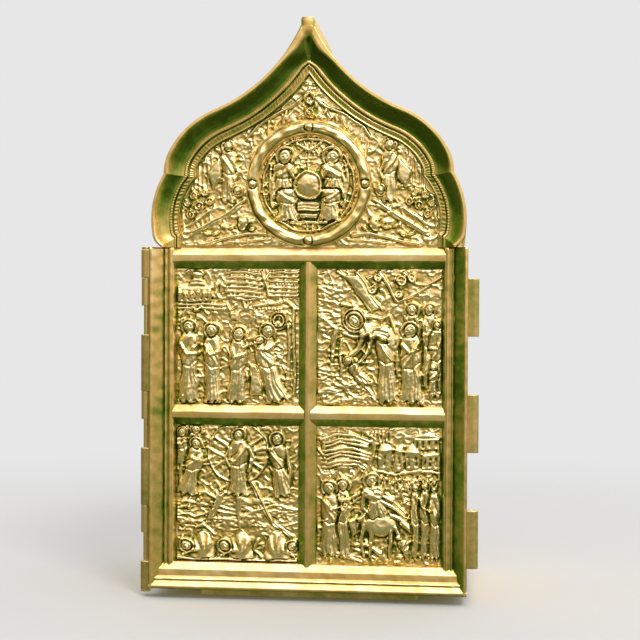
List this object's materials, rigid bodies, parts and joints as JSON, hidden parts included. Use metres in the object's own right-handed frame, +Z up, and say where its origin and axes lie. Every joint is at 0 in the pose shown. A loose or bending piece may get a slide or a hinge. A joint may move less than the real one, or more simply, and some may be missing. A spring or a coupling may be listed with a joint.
{
  "type": "tabernacle box",
  "caption": "Portable brass tabernacle box with an ogee top, a hinged door leaf cast with framed relief scenes and a round medallion, and a velvet-lined case.",
  "frame": {"origin": "centre of the bounding box in X and Y, on the ground under the foot plate", "axes": "+Z up, the door faces -Y, +X is to the right as seen from the front"},
  "size_m": [0.1026, 0.0564, 0.175],
  "materials": {
    "leaf_brass": "cast, rubbed bright on the high relief, olive patina in the hollows",
    "case_brass": "rolled sheet, satin, tarnished",
    "fastener_brass": "drawn and filed",
    "velvet": "short pile velvet"
  },
  "bodies": {
    "case": {"back_plate": "case_brass", "left_wall": "case_brass", "right_wall": "case_brass", "roof_left": "case_brass", "roof_right": "case_brass", "base_plate": "case_brass", "foot_plate": "case_brass", "case_rim": "case_brass", "back_lining": "velvet", "floor_pad": "velvet", "hinge_pin": "fastener_brass", "strap_rivets": "fastener_brass", "base_rivets": "fastener_brass", "catch_sockets": "fastener_brass", "case_knuckle_lower": "case_brass", "case_knuckle_middle": "case_brass", "case_knuckle_upper": "case_brass"},
    "door": {"door_back_sheet": "leaf_brass", "lower_frame": "leaf_brass", "pediment_frame": "leaf_brass", "transom": "leaf_brass", "mullion": "leaf_brass", "middle_rail_left": "leaf_brass", "middle_rail_right": "leaf_brass", "tympanum_plate": "leaf_brass", "medallion_ring": "leaf_brass", "medallion_plate": "leaf_brass", "scene_upper_left": "leaf_brass", "scene_upper_right": "leaf_brass", "scene_lower_left": "leaf_brass", "scene_lower_right": "leaf_brass", "catch_studs": "fastener_brass", "door_rivets": "fastener_brass", "hinge_knuckle_bottom": "leaf_brass", "hinge_knuckle_lower": "leaf_brass", "hinge_knuckle_upper": "leaf_brass", "hinge_knuckle_top": "leaf_brass", "edge_knuckle_lower": "leaf_brass", "edge_knuckle_middle": "leaf_brass", "edge_knuckle_upper": "leaf_brass"}
  },
  "joints": [
    {"name": "door_hinge", "type": "hinge", "parent": "case", "child": "door", "pos_m": [-0.04972, -0.02375, 0.054], "axis": [0, 0, -1], "range_deg": [0, 180]}
  ]
}
